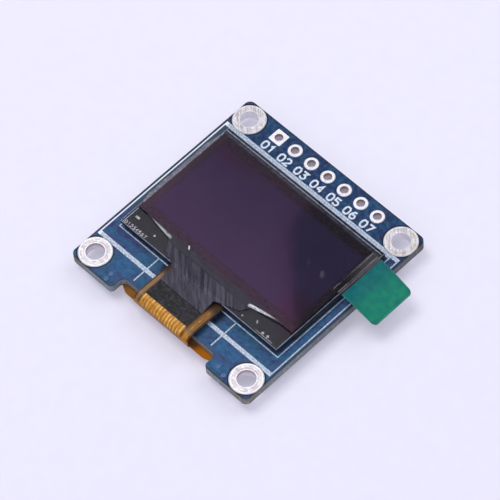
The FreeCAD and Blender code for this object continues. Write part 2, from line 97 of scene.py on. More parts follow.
board_low, board_high = corners("printed_circuit_board")
glass_low, glass_high = corners("front_glass")
rear_low, rear_high = corners("rear_glass")
polarizer_low, polarizer_high = corners("polarizer")
active_low, active_high = corners("oled_layer")
film_low, film_high = corners("protective_film")
tab_low, tab_high = corners("pull_tab")
patch_low, patch_high = corners("flex_ink")
ring_low, ring_high = corners("mount_plating_2")
joints_low, joints_high = corners("solder_joints")
ink_low, ink_high = corners("silkscreen_front")
board_top = board_high.z

# Places that the finishes and the fine pieces follow
MOUNT_X, MOUNT_Y = (ring_low.x + ring_high.x) / 2, (ring_low.y + ring_high.y) / 2
RING_R = (ring_high.x - ring_low.x) / 2
MOUNT_BORE_R = 1.1
MOUNT_COUNT = 4
NECK_LEFT, NECK_RIGHT = -4.3, 4.0
BOND_END = corners("driver_chip")[0].y - 0.34
PIN_COUNT = 7
CAPACITORS = 6
RESISTORS = 4
CONTACT_COUNT = 30
CONTACT_PITCH = 0.62
CONTACT_W = 0.34
CONDUCTOR_PITCH = 0.42

# Thicknesses of the fine pieces, and a via's radii with its heights from rim to middle
INK_T = 0.02
LEDGE_INK_T = 0.004
COPPER_T = 0.012
VIA_PROFILE = ((0.30, 0.0), (0.27, 0.019), (0.17, 0.022), (0.10, 0.016))
VIA_MIDDLE = 0.014
VIA_STEPS = 16


class Shader:
    """A node material under construction. Places and sizes in it are in millimetres."""

    def __init__(self, name):
        self.material = bpy.data.materials.new(name)
        self.material.use_nodes = True
        self.tree = self.material.node_tree
        self.tree.nodes.clear()
        self.output = self.add("ShaderNodeOutputMaterial")
        coordinates = self.add("ShaderNodeTexCoord")
        scale = self.add("ShaderNodeVectorMath", operation="SCALE")
        self.feed(coordinates.outputs["Object"], scale.inputs[0])
        scale.inputs["Scale"].default_value = 1 / MM
        self.place = scale.outputs[0]
        self.x, self.y, self.z = self.components(self.place)

    def add(self, kind, **settings):
        node = self.tree.nodes.new(kind)
        for key, value in settings.items():
            setattr(node, key, value)
        return node

    def feed(self, value, socket):
        """Link a socket's value, or set it when it is a plain number or colour."""
        if isinstance(value, bpy.types.NodeSocket):
            self.tree.links.new(value, socket)
        elif isinstance(value, (tuple, list)) and socket.type == "RGBA" and len(value) == 3:
            socket.default_value = (*value, 1.0)
        else:
            socket.default_value = value

    def components(self, vector):
        split = self.add("ShaderNodeSeparateXYZ")
        self.feed(vector, split.inputs[0])
        return split.outputs

    def math(self, operation, *values):
        node = self.add("ShaderNodeMath", operation=operation)
        for value, socket in zip(values, node.inputs):
            self.feed(value, socket)
        return node.outputs[0]

    def sum(self, a, b):
        return self.math("ADD", a, b)

    def less(self, a, b):
        return self.math("SUBTRACT", a, b)

    def size(self, value):
        return self.math("ABSOLUTE", value)

    def rest(self, share):
        """What a share leaves of one."""
        return self.less(1.0, share)

    def both(self, *values):
        """The product of several masks."""
        product = values[0]
        for value in values[1:]:
            product = self.math("MULTIPLY", product, value)
        return product

    def either(self, *values):
        """The largest of several masks."""
        top = values[0]
        for value in values[1:]:
            top = self.math("MAXIMUM", top, value)
        return top

    def ramp(self, value, low, high, start=0.0, end=1.0):
        """A smooth step from start to end as the value goes from low to high."""
        node = self.add("ShaderNodeMapRange", interpolation_type="SMOOTHSTEP")
        for key, setting in (("Value", value), ("From Min", low), ("From Max", high),
                             ("To Min", start), ("To Max", end)):
            self.feed(setting, node.inputs[key])
        return node.outputs[0]

    def pick(self, share, start, end):
        """From start to end as a share goes from none to all."""
        return self.ramp(share, 0.0, 1.0, start, end)

    def vary(self, noise, start=0.0, end=1.0):
        """From start to end over the range that a noise mostly has."""
        return self.ramp(noise, 0.3, 0.7, start, end)

    def inside(self, value, low, high, soft=0.02):
        """One between two limits, zero outside, with soft ends."""
        return self.both(self.ramp(value, low - soft, low + soft),
                         self.ramp(value, high + soft, high - soft))

    def area(self, x0, x1, y0, y1):
        return self.both(self.inside(self.x, x0, x1), self.inside(self.y, y0, y1))

    def lines(self, value, pitch):
        """A rounded ridge of height 0 to 1 that repeats with the pitch along a value."""
        turn = self.math("MULTIPLY", value, 2 * math.pi / pitch)
        return self.math("MULTIPLY_ADD", self.math("SINE", turn), 0.5, 0.5)

    def stroke(self, start, end, half, soft=0.5):
        """One along a short line between two places in plan, fading out at its rim."""
        way = Vector(end) - Vector(start)
        length = way.length
        way.normalize()
        dx, dy = self.less(self.x, start[0]), self.less(self.y, start[1])
        along = self.sum(self.both(dx, way.x), self.both(dy, way.y))
        across = self.less(self.both(dy, way.x), self.both(dx, way.y))
        near = self.math("MINIMUM", self.either(along, 0.0), length)
        past = self.less(along, near)
        square = self.sum(self.both(past, past), self.both(across, across))
        return self.ramp(self.math("SQRT", square), half, half * (1 - soft))

    def upright(self):
        """One on walls, zero on level faces."""
        normal = self.components(self.add("ShaderNodeNewGeometry").outputs["Normal"])
        return self.ramp(self.size(normal["Z"]), 0.6, 0.4)

    def stretched(self, turn, stretch):
        """The place turned about Z and then squeezed, for patterns with a direction."""
        turned = self.add("ShaderNodeMapping")
        self.feed(self.place, turned.inputs["Vector"])
        turned.inputs["Rotation"].default_value = (0, 0, math.radians(turn))
        squeezed = self.add("ShaderNodeMapping")
        self.feed(turned.outputs[0], squeezed.inputs["Vector"])
        squeezed.inputs["Scale"].default_value = stretch
        return squeezed.outputs[0]

    def noise(self, size, detail=2.0, vector=None, roughness=0.5):
        node = self.add("ShaderNodeTexNoise")
        self.feed(vector or self.place, node.inputs["Vector"])
        node.inputs["Scale"].default_value = 1 / size
        node.inputs["Detail"].default_value = detail
        node.inputs["Roughness"].default_value = roughness
        return node.outputs[0]

    def speckles(self, size, radius):
        """Small round specks, one in each cell."""
        node = self.add("ShaderNodeTexVoronoi")
        self.feed(self.place, node.inputs["Vector"])
        node.inputs["Scale"].default_value = 1 / size
        return self.ramp(node.outputs["Distance"], radius, radius * 0.5)

    def mix(self, factor, a, b):
        node = self.add("ShaderNodeMix", data_type="RGBA")
        self.feed(factor, node.inputs["Factor"])
        first, second = [socket for socket in node.inputs if socket.type == "RGBA"]
        self.feed(a, first)
        self.feed(b, second)
        return next(socket for socket in node.outputs if socket.type == "RGBA")

    def painted(self, tone, *coats):
        """A tone with coats laid over it in turn, each a colour and the masks where it lies."""
        for colour, *masks in coats:
            tone = self.mix(self.both(*masks), tone, colour)
        return tone

    def surface(self, tone, rough, relief=None, depth=0.0, gloss=0.5, **more):
        """A principled surface. Further settings are named with underscores for spaces."""
        node = self.add("ShaderNodeBsdfPrincipled")
        if relief is not None:
            bump = self.add("ShaderNodeBump")
            self.feed(relief, bump.inputs["Height"])
            bump.inputs["Distance"].default_value = depth * MM
            more["Normal"] = bump.outputs[0]
        more.update(Base_Color=tone, Roughness=rough, Specular_IOR_Level=gloss)
        for key, value in more.items():
            self.feed(value, node.inputs[key.replace("_", " ")])
        return node.outputs[0]

    def glow(self, colour, strength):
        node = self.add("ShaderNodeEmission")
        self.feed(colour, node.inputs["Color"])
        self.feed(strength, node.inputs["Strength"])
        return node.outputs[0]

    def blend(self, factor, a, b):
        node = self.add("ShaderNodeMixShader")
        for value, socket in zip((factor, a, b), node.inputs):
            self.feed(value, socket)
        return node.outputs[0]

    def lit_through(self, share, skin, tone):
        """A skin that lets a share of the light through, coloured."""
        through = self.add("ShaderNodeBsdfTranslucent")
        self.feed(tone, through.inputs["Color"])
        return self.blend(share, skin, through.outputs[0])

    def finish(self, surface):
        self.feed(surface, self.output.inputs["Surface"])
        return self.material


def hole_distance(s):
    """How far a place is from the axis of the nearest mounting hole."""
    off_x, off_y = s.less(s.size(s.x), MOUNT_X), s.less(s.size(s.y), MOUNT_Y)
    return s.math("SQRT", s.sum(s.both(off_x, off_x), s.both(off_y, off_y)))


def off_middle(s, letter, low, high):
    """How far a place is from the middle between two limits."""
    return s.size(s.less(getattr(s, letter), (getattr(low, letter) + getattr(high, letter)) / 2))


def rim(s, low, high, near, full):
    """Zero inside a sheet, one from a distance of full to its outline, in plan."""
    half_x, half_y = (high.x - low.x) / 2, (high.y - low.y) / 2
    return s.either(s.ramp(off_middle(s, "x", low, high), half_x - near, half_x - full),
                    s.ramp(off_middle(s, "y", low, high), half_y - near, half_y - full))


def solder_mask():
    """Blue mask on both faces, and the sawn laminate on the edges."""
    s = Shader("solder_mask")
    wall = s.upright()
    front = s.ramp(s.z, 0.4, 0.8)
    far = hole_distance(s)
    clouds = s.ramp(s.noise(2.6, 3.0), 0.35, 0.65)
    blotches = s.noise(0.55, 3.0)
    grains = s.noise(0.24, 2.0)
    low_tone = s.mix(clouds, (0.044, 0.062, 0.172), (0.024, 0.110, 0.192))
    high_tone = s.mix(clouds, (0.018, 0.032, 0.092), (0.012, 0.052, 0.128))
    # Painted shadow on the mask on both sides of the cable's neck.
    painted_cable_shadow = s.either(s.stroke((4.25, -7.9), (4.25, -9.2), 0.55, 0.8),
                         s.stroke((-4.8, -7.9), (-4.5, -8.6), 0.55, 0.8))
    mask = s.painted(
        s.mix(s.ramp(s.y, 11.0, 7.0), high_tone, low_tone),
        ((0.050, 0.125, 0.240), s.ramp(blotches, 0.42, 0.70, 0.0, 0.50)),
        ((0.012, 0.024, 0.085), s.ramp(blotches, 0.48, 0.28, 0.0, 0.60)),
        ((0.012, 0.090, 0.130), s.ramp(grains, 0.52, 0.75, 0.0, 0.45)),
        ((0.030, 0.030, 0.090), s.ramp(grains, 0.46, 0.25, 0.0, 0.40)),
        # Painted shade and reflection: the mask greyed in the strip left of the glass, above its lower
        # corner.
        ((0.060, 0.068, 0.090), front, s.ramp(s.x, -11.9, -12.4, 0.0, 0.6), s.ramp(s.y, -6.5, -4.5)),
        ((0.022, 0.030, 0.042), rim(s, board_low, board_high, 0.22, 0.06), 0.75),
        ((0.004, 0.006, 0.014), painted_cable_shadow, front, 0.75),
        ((0.66, 0.65, 0.66), s.inside(far, RING_R - 0.05, RING_R + 0.06)),
        ((0.010, 0.012, 0.020), s.inside(far, RING_R + 0.09, RING_R + 0.24, 0.04), 0.9))
    layers = s.lines(s.sum(s.z, s.both(s.noise(0.9), 0.08)), 0.17)
    fibre = s.noise(0.25, 3.0, s.stretched(0, (1, 1, 6)))
    stains = s.ramp(s.noise(0.8, 3.0), 0.48, 0.66)
    corner = s.both(s.ramp(s.size(s.x), 9.8, 12.8), s.ramp(s.size(s.y), 9.2, 12.8))
    stained = s.either(s.both(stains, 0.40), s.both(corner, s.pick(stains, 0.55, 0.9)))
    pale_spots = s.ramp(s.noise(0.6, 2.0, s.stretched(0, (1, 1, 0.5))), 0.56, 0.70)
    seam = s.either(s.ramp(s.z, board_top - 0.22, board_top - 0.10),
                    s.both(s.ramp(s.z, 0.16, 0.06), 0.7))
    # Painted shade: the board's right wall darker from near its lower corner upward.
    painted_right_wall_shade = s.both(s.ramp(s.x, 13.3, 13.5), s.ramp(s.y, -11.0, 2.0))
    laminate = s.painted(
        s.mix(layers, (0.19, 0.225, 0.245), (0.34, 0.385, 0.405)),
        ((0.25, 0.29, 0.31), s.ramp(fibre, 0.35, 0.7)),
        ((0.200, 0.155, 0.085), stained),
        ((0.50, 0.53, 0.50), pale_spots, 0.45),
        ((0.060, 0.062, 0.060), seam, 0.8),
        ((0.080, 0.098, 0.110), painted_right_wall_shade, 0.42))
    weave = s.sum(s.lines(s.x, 0.48), s.lines(s.y, 0.55))
    return s.finish(s.surface(
        s.mix(wall, mask, laminate), s.sum(s.both(blotches, 0.14), s.pick(wall, 0.26, 0.62)),
        s.sum(s.both(weave, 0.25), s.noise(0.35, 2.0)), 0.006, gloss=0.12))


def masked_copper():
    """Tracks under the mask: a little lighter and greener than the mask beside them."""
    s = Shader("masked_copper")
    pale = s.mix(s.ramp(s.y, 11.0, 7.0), (0.020, 0.070, 0.185), (0.032, 0.125, 0.260))
    return s.finish(s.surface(
        s.mix(s.vary(s.noise(0.6, 2.0)), (0.024, 0.078, 0.185), pale),
        s.vary(s.noise(0.2), 0.26, 0.38), s.noise(0.3), 0.004, gloss=0.15))


def capped_via():
    """Mask over the small holes of the front, paler near the cable's edge."""
    s = Shader("capped_via")
    cloud = s.vary(s.noise(0.4, 2.0))
    near = s.mix(cloud, (0.060, 0.125, 0.260), (0.100, 0.175, 0.350))
    far = s.mix(cloud, (0.024, 0.078, 0.185), (0.032, 0.110, 0.235))
    return s.finish(s.surface(s.mix(s.ramp(s.y, -11.0, -12.0), far, near), s.pick(cloud, 0.28, 0.38),
                              cloud, 0.004, gloss=0.15))


def printed_ink(name, thin, full, low_band, top_band):
    """White ink with a blue cast, thin in places and along the middle of the two wide bands."""
    s = Shader(name)
    cover = s.ramp(s.noise(0.20, 3.0, roughness=0.75), 0.36, 0.58)
    gaps = s.either(s.both(s.inside(s.y, top_band - 0.045, top_band + 0.025, 0.03), 0.75),
                    s.both(s.inside(s.y, low_band - 0.03, low_band + 0.03, 0.03), 0.25))
    cover = s.both(cover, s.rest(gaps))
    tone = s.mix(s.ramp(s.x, -12.9, -13.1, 0.0, 0.8), s.mix(cover, thin, full), (0.93, 0.97, 1.0))
    return s.finish(s.surface(tone, s.pick(cover, 0.45, 0.62), s.noise(0.09, 3.0), 0.006, gloss=0.3))


def metal(name, bright, dull, smooth, rough, lump, depth, bore=None, purity=1.0, ringed=False):
    """Tin-like metal with soft lumps, fine scratches and dull patches. The tones for a bore are
    those at its mouth and further in: painted shade at the mouth, painted light deeper in. A ringed
    one has a painted highlight on its lip, a duller groove, and painted shade round its bore."""
    s = Shader(name)
    patches = s.ramp(s.noise(lump, 3.0), 0.35, 0.7)
    scratches = s.noise(0.05, 2.0, s.stretched(35, (1, 0.12, 1)))
    tone = s.mix(patches, bright, dull)
    upper = s.ramp(s.y, -2, 2)
    if ringed:
        far = hole_distance(s)
        waver = s.math("MULTIPLY_ADD", s.noise(0.7, 3.0), 0.34, -0.17)
        groove = s.both(s.inside(s.sum(far, waver), RING_R - 0.36, RING_R - 0.24, 0.07),
                        s.ramp(s.noise(0.33, 2.0), 0.45, 0.58))
        thread = s.noise(0.26, 2.0, s.stretched(45, (0.12, 1.0, 1.0)))
        tarnish = s.both(upper, s.ramp(s.x, 11.3, 12.6), s.ramp(s.noise(0.5, 3.0), 0.36, 0.58),
                         s.inside(far, RING_R - 0.42, RING_R - 0.12, 0.12))
        # Painted shade on the bevel round the bore, stronger on the lower rings.
        painted_bevel_shade = s.both(s.inside(far, MOUNT_BORE_R + 0.10, MOUNT_BORE_R + 0.32, 0.07),
                      s.ramp(s.noise(0.9, 3.0), 0.40, 0.62))
        # Painted highlight on the ring's outer edge and round the bore, brighter on the lower rings.
        lip = s.either(s.inside(far, RING_R - 0.14, RING_R - 0.02, 0.03),
                       s.ramp(far, MOUNT_BORE_R + 0.10, MOUNT_BORE_R + 0.02))
        tone = s.painted(
            tone,
            (s.mix(upper, (0.36, 0.31, 0.32), (0.38, 0.38, 0.28)), groove, 0.7),
            ((0.37, 0.35, 0.36), upper, s.ramp(thread, 0.46, 0.62), 0.7),
            ((0.42, 0.34, 0.20), tarnish, 0.6),
            ((0.42, 0.35, 0.37), painted_bevel_shade, s.pick(upper, 0.65, 0.2)),
            ((0.97, 0.96, 0.97), lip, s.pick(upper, 1.0, 0.5)))
    # Painted shade at a bore's mouth and painted light deeper in, where light comes up through the hole.
    # The bores of the upper rings are painted near white.
    if bore is not None:
        painted_bore_tone = s.mix(s.ramp(s.z, board_top - 0.15, board_top - 0.75), *bore)
        if ringed:
            painted_bore_tone = s.mix(upper, painted_bore_tone, (0.95, 0.94, 0.97))
        tone = s.mix(s.upright(), tone, painted_bore_tone)
    return s.finish(s.surface(
        tone, s.sum(s.pick(patches, smooth, rough), s.both(scratches, 0.08)),
        s.sum(s.noise(lump * 0.6, 2.0), s.both(scratches, 0.12)), depth, Metallic=purity))


def panel_glass(name, low, high, edge_tone, arris_tone):
    """Clear glass with dark cut edges and a pale line along its upper arris, partly the ground
    edge's grey and partly a painted highlight.
    """
    s = Shader(name)
    clear = s.surface((0.80, 0.86, 0.86), 0.02, s.noise(3.0), 0.001, Transmission_Weight=1.0, IOR=1.43)
    chips = s.noise(0.12, 3.0)
    top = s.ramp(s.z, high.z - 0.07, high.z - 0.05)
    broken = s.ramp(s.noise(0.5, 3.0), 0.30, 0.55, 0.45, 1.0)
    ground = s.surface(s.mix(s.both(top, broken), edge_tone, arris_tone), s.vary(chips, 0.30, 0.5),
                       chips, 0.01, gloss=0.25)
    lines = s.either(s.inside(s.y, high.y - 0.44, high.y - 0.29, 0.04),
                     s.both(s.inside(s.y, high.y - 0.76, high.y - 0.68, 0.04), 0.35))
    faint = s.both(s.ramp(s.x, high.x - 0.3, high.x - 0.2), s.ramp(s.y, -4.6, -4.0))
    top = s.both(top, s.pick(faint, 1.0, 0.55))
    mist = s.both(s.inside(s.y, high.y - 0.90, high.y - 0.20, 0.10), broken, 0.16)
    # The pale arris is partly the ground edge's grey and partly a painted highlight.
    cut = s.either(rim(s, low, high, 0.03, 0.018), s.both(rim(s, low, high, 0.10, 0.07), top, 0.75),
                   s.both(s.either(lines, mist), top, 0.80))
    return s, s.blend(cut, clear, ground)


def front_panel_glass():
    """The front glass, with the dark coat under its ledge that stops short of the cable's bond."""
    s, body = panel_glass("front_panel_glass", glass_low, glass_high,
                          (0.010, 0.016, 0.016), (0.27, 0.295, 0.40))
    under = s.ramp(s.z, glass_low.z + 0.03, glass_low.z + 0.02)
    edge = 0.16
    coat = s.area(glass_low.x + edge, glass_high.x - edge, glass_low.y + edge, rear_low.y)
    coat = s.both(coat, s.rest(s.area(NECK_LEFT, NECK_RIGHT, glass_low.y - 1, BOND_END)))
    smear = s.noise(0.8, 3.0)
    dark = s.surface(s.mix(smear, (0.002, 0.002, 0.011), (0.011, 0.010, 0.032)),
                     s.vary(smear, 0.3, 0.5), gloss=0.1)
    return s.finish(s.blend(s.both(under, coat), body, dark))


def rear_panel_glass():
    s, body = panel_glass("rear_panel_glass", rear_low, rear_high,
                          (0.008, 0.014, 0.014), (0.030, 0.045, 0.045))
    return s.finish(body)


def polarizer_sheet():
    """Dark sheet that shows the picture area in violet, with a soft grey-brown rim round it."""
    s = Shader("polarizer_sheet")
    waver = s.both(s.less(s.noise(1.4, 3.0), 0.5), 0.25)
    x, y = s.sum(s.x, waver), s.sum(s.y, waver)
    picture = s.both(s.inside(x, active_low.x, active_high.x, 0.30),
                     s.inside(y, active_low.y, active_high.y, 0.30))
    violet = s.painted(
        s.mix(s.vary(s.noise(4.5, 3.0)), (0.0245, 0.0190, 0.0540), (0.0310, 0.0220, 0.0620)),
        ((0.034, 0.012, 0.028), s.ramp(y, 4.5, 7.0), s.ramp(x, -3.0, -7.0), 0.8),
        ((0.040, 0.013, 0.036), s.ramp(y, 0.5, -2.5), s.ramp(x, 7.5, 9.5), 0.8))
    border = s.mix(s.ramp(x, -10.5, -11.4), (0.0150, 0.0115, 0.0185), (0.029, 0.023, 0.031))
    border = s.mix(s.ramp(s.noise(0.5, 3.0), 0.35, 0.7, 0.0, 0.5), border, (0.034, 0.020, 0.022))
    return s.finish(s.surface(
        s.mix(picture, border, violet), s.ramp(s.noise(0.7, 3.0), 0.3, 0.75, 0.015, 0.04),
        s.noise(5.0, 2.0), 0.003, gloss=0.85,
        Specular_Tint=s.mix(picture, (0.95, 0.50, 0.80), (0.93, 0.42, 0.94))))


def crease_highlight_band(s, thin, thick, thin_half, thick_half):
    """A painted highlight streak that widens from one point to another, ragged at its thin end."""
    share = s.ramp(s.x, thin[0], thick[0])
    along = s.math("DIVIDE", s.less(s.x, thin[0]), thick[0] - thin[0])
    line = s.math("MULTIPLY_ADD", along, thick[1] - thin[1], thin[1])
    half = s.math("MULTIPLY_ADD", share, thick_half - thin_half, thin_half)
    off = s.math("DIVIDE", s.size(s.less(s.y, line)), half)
    ends = s.both(s.ramp(along, 0.0, 0.55), s.ramp(along, 1.04, 1.0))
    threads = s.noise(0.16, 3.0, s.stretched(4, (0.25, 1.0, 1.0)))
    return s.both(s.ramp(off, 1.0, 0.6), ends, s.ramp(threads, 0.30, 0.55, 0.45, 1.0))


def clear_film():
    """The protective film: clear on the polarizer, hazy and streaked on its tongue."""
    s = Shader("clear_film")
    edge = polarizer_low.y
    on_tongue = s.ramp(s.y, edge + 0.02, edge - 0.10)
    fold = s.inside(s.y, edge - 0.95, edge - 0.05, 0.06)
    over_glass_edge = s.inside(s.y, glass_low.y - 0.25, glass_low.y + 0.2, 0.1)
    free = s.ramp(s.y, glass_low.y + 0.15, glass_low.y - 0.05)
    streaks = s.noise(0.30, 2.0, s.stretched(45, (0.05, 1.0, 1.0)), 0.55)
    broad = s.noise(1.2, 2.0, s.stretched(45, (0.20, 1.0, 1.0)))
    veil = s.sum(s.ramp(streaks, 0.35, 0.68, 0.52, 0.62), s.vary(broad, 0.0, 0.08))
    haze = s.both(on_tongue, veil, s.pick(fold, 1.0, 0.62), s.pick(over_glass_edge, 1.0, 1.35))
    # Painted highlights: bright streaks along the film's slanted shoulders below the polarizer.
    left_crease_highlight = crease_highlight_band(s, (-11.0, -5.10), (-6.3, -5.50), 0.05, 0.20)
    right_crease_highlight = crease_highlight_band(s, (10.6, -4.86), (6.05, -5.70), 0.03, 0.23)
    # A painted glint and a painted shadow beside it, on a small raised spot in the film.
    glint = s.stroke((-3.98, -4.94), (-3.74, -5.22), 0.10, 0.6)
    painted_bump_shadow = s.stroke((-4.42, -4.56), (-4.18, -4.80), 0.11, 0.6)
    smudges = s.either(s.both(s.stroke((9.0, 2.55), (9.3, 2.2), 0.42, 0.9), 0.24),
                       s.both(s.stroke((6.9, 2.6), (7.1, 2.35), 0.35, 0.9), 0.13),
                       s.both(s.stroke((4.3, 2.9), (4.7, 2.5), 0.40, 0.9), 0.08))
    tone = s.mix(s.ramp(streaks, 0.35, 0.68), (0.046, 0.043, 0.062), (0.108, 0.101, 0.140))
    # Painted shade: darker where the film folds down over the polarizer's lower edge.
    tone = s.mix(s.both(fold, 0.5), tone, (0.058, 0.053, 0.075))
    tone = s.painted(
        s.mix(on_tongue, (0.21, 0.21, 0.26), tone),
        ((0.38, 0.40, 0.38), left_crease_highlight), ((0.78, 0.78, 0.82), right_crease_highlight),
        ((0.90, 0.90, 0.90), glint), ((0.002, 0.002, 0.002), painted_bump_shadow))
    alpha = s.either(haze, smudges, 0.04, s.both(s.either(left_crease_highlight, right_crease_highlight), 0.95),
                     s.both(s.either(glint, painted_bump_shadow), 0.9))
    return s.finish(s.surface(
        tone, s.vary(streaks, 0.14, 0.32), s.both(streaks, on_tongue), 0.012,
        gloss=s.pick(s.either(fold, free), 0.25, 0.06), Alpha=alpha))


def film_margin_finish():
    """The same film where it stands free of the panel, greyer and hazed."""
    s = Shader("film_margin")
    haze = s.noise(0.5, 3.0)
    return s.finish(s.surface(
        s.mix(haze, (0.15, 0.15, 0.18), (0.40, 0.385, 0.44)), s.vary(haze, 0.15, 0.3), haze, 0.01,
        Alpha=s.vary(haze, 0.30, 0.60)))


def cable_film():
    """Amber film over copper conductors that run round the fold, inked dark over its neck."""
    s = Shader("cable_film")
    x, y, z = s.x, s.y, s.z
    left, right = patch_low.x, patch_high.x
    wander = s.both(s.noise(0.9, 3.0), 0.22)
    behind = s.ramp(z, 0.35, 0.0)
    fanned = s.math("DIVIDE", x, s.ramp(y, -13.0, -9.6, 0.46, 1.0))
    ridges = s.sum(s.both(s.lines(s.sum(x, wander), CONDUCTOR_PITCH), s.rest(behind)),
                   s.both(s.lines(s.sum(fanned, s.both(wander, 0.2)), CONTACT_PITCH), behind))
    row = s.either(s.inside(x, left + 0.1, right - 0.1, 0.06),
                   s.both(behind, s.inside(fanned, -9.2, 9.2, 0.06)))
    uneven = s.ramp(s.noise(0.55, 3.0, s.stretched(0, (1.0, 0.4, 0.4))), 0.38, 0.62, 0.15, 1.0)
    conductor = s.both(s.ramp(ridges, 0.35, 0.7), row, uneven)
    patchy = s.noise(0.5, 3.0)
    amber = s.mix(s.vary(patchy), (0.42, 0.165, 0.016), (0.68, 0.29, 0.030))
    copper = s.mix(s.vary(patchy), (0.96, 0.46, 0.060), (1.0, 0.74, 0.20))
    on_neck = s.ramp(z, 1.2, 1.5)
    outline = s.either(s.inside(x, NECK_LEFT - 0.1, NECK_LEFT + 0.16, 0.05),
                       s.inside(x, NECK_RIGHT - 0.22, NECK_RIGHT + 0.1, 0.05),
                       s.both(s.inside(x, left - 0.14, left + 0.05, 0.05), 0.7),
                       s.both(s.inside(x, right - 0.05, right + 0.20, 0.05), 0.8))
    stripe_end = (right + NECK_RIGHT) / 2
    stripe = s.inside(x, stripe_end - 0.12, stripe_end, 0.06)
    # Painted shade on the neck's margins where they come out from under the glass and film.
    margin_shade_by_glass = s.both(on_neck, s.rest(row), s.ramp(s.sum(y, s.both(patchy, 0.6)), -9.3, -8.1))
    inked = s.both(s.inside(x, left, right, 0.04), s.ramp(z, 1.5, 1.6),
                   s.ramp(y, patch_high.y - 0.05, patch_high.y))
    wing = s.both(s.ramp(s.size(x), 4.2, 4.6), s.ramp(y, -10.8, -11.9))
    tone = s.painted(
        s.mix(conductor, amber, copper),
        # Painted shade: the conductor row darker and browner from the top of the fold down and round to
        # the back.
        ((0.33, 0.165, 0.085), s.ramp(z, 1.48, 1.10), row, 0.72),
        ((0.25, 0.185, 0.115), on_neck, s.ramp(x, left + 0.2, left - 0.1), 0.75),
        ((0.175, 0.100, 0.036), on_neck, s.ramp(x, right, right + 0.3), s.ramp(y, -12.9, -12.3), 0.70),
        ((0.060, 0.028, 0.010), outline, on_neck, 0.9),
        ((0.62, 0.43, 0.16), stripe, on_neck, s.ramp(patchy, 0.4, 0.6), 0.75),
        ((0.040, 0.022, 0.012), margin_shade_by_glass, 0.9),
        ((0.018, 0.015, 0.020), inked),
        (s.mix(s.ramp(x, 3.0, 5.0), (0.52, 0.25, 0.050), (0.70, 0.29, 0.016)), wing))
    skin = s.surface(tone, s.vary(patchy, 0.26, 0.42), s.sum(s.both(conductor, 0.8), patchy), 0.008,
                     gloss=0.22)
    return s.finish(s.lit_through(s.both(s.rest(inked), s.pick(wing, 0.22, 0.50)), skin, tone))


def dark_patch():
    """Glossy near-black ink, with the conductors showing through as faint ridges."""
    s = Shader("dark_patch")
    tone = s.mix(s.ramp(s.noise(0.6, 3.0), 0.35, 0.7), (0.008, 0.012, 0.010), (0.024, 0.015, 0.024))
    return s.finish(s.surface(tone, s.vary(s.noise(0.3), 0.12, 0.28),
                              s.sum(s.lines(s.x, CONDUCTOR_PITCH), s.noise(0.25, 3.0)), 0.006))


def tab_film():
    """Green film, painted darker and bluer near the panel where the board shows through, and
    lighter beyond over the floor. Its strip on the panel is grey and clear.
    """
    s = Shader("tab_film")
    clear = s.ramp(s.x, 12.62, 12.50)
    lap = s.ramp(s.x, 12.05, 11.85)
    clouds = s.ramp(s.noise(0.9, 3.0), 0.32, 0.68)
    # Painted shade and light: darker and bluer over the board, brighter and greener beyond it.
    shaded_near_tone = s.mix(clouds, (0.003, 0.160, 0.172), (0.006, 0.205, 0.188))
    lit_far_tone = s.mix(clouds, (0.003, 0.235, 0.178), (0.007, 0.325, 0.174))
    half, end = (tab_high.y - tab_low.y) / 2, tab_high.x
    off = off_middle(s, "y", tab_low, tab_high)
    seam = s.either(s.inside(off, half - 0.42, half - 0.26, 0.07),
                    s.inside(s.x, end - 0.42, end - 0.26, 0.07), s.inside(s.x, 12.62, 12.75, 0.06))
    edge = s.either(s.ramp(off, half - 0.16, half - 0.06), s.ramp(s.x, end - 0.16, end - 0.06))
    scuffs = s.noise(0.5, 3.0, s.stretched(20, (1, 0.3, 1)))
    ridge = s.either(s.inside(s.x, 11.26, 11.40, 0.05), s.inside(s.x, 11.92, 12.06, 0.05))
    tone = s.painted(
        s.mix(s.ramp(s.x, 13.6, 15.4), shaded_near_tone, lit_far_tone),
        ((0.040, 0.200, 0.160), s.ramp(s.noise(0.35, 2.0), 0.5, 0.7, 0.0, 0.35)),
        ((0.006, 0.110, 0.110), seam, 0.32),
        ((0.080, 0.300, 0.260), edge, 0.7),
        (s.mix(ridge, (0.13, 0.135, 0.14), (0.31, 0.30, 0.29)), clear))
    strip = s.ramp(s.y, 3.0, 7.5, 0.10, 0.30)
    alpha = s.sum(s.less(s.pick(clear, 1.0, strip), s.both(lap, 0.10)),
                  s.both(ridge, clear, s.ramp(scuffs, 0.46, 0.64, 0.0, 0.20)))
    skin = s.surface(tone, s.ramp(scuffs, 0.3, 0.75, 0.10, 0.24),
                     s.sum(s.noise(2.2, 2.0), s.both(scuffs, 0.1)), 0.04, gloss=0.12, Alpha=alpha)
    return s.finish(s.lit_through(s.pick(clear, 0.25, 0.0), skin, tone))


def plain(name, dark, light, size, smooth, rough, depth=0.006):
    """A mottled surface for the smaller pieces."""
    s = Shader(name)
    grain = s.noise(size, 3.0)
    return s.finish(s.surface(s.mix(s.vary(grain), dark, light), s.vary(grain, smooth, rough), grain,
                              depth))


def capacitor_ceramic():
    """Tan ceramic with dark grains and a pressed surface."""
    s = Shader("capacitor_ceramic")
    grain = s.noise(0.12, 3.0)
    tone = s.mix(s.vary(grain), (0.155, 0.085, 0.045), (0.26, 0.155, 0.085))
    tone = s.mix(s.speckles(0.11, 0.16), tone, (0.06, 0.035, 0.02))
    return s.finish(s.surface(tone, s.vary(grain, 0.45, 0.65), grain, 0.006))


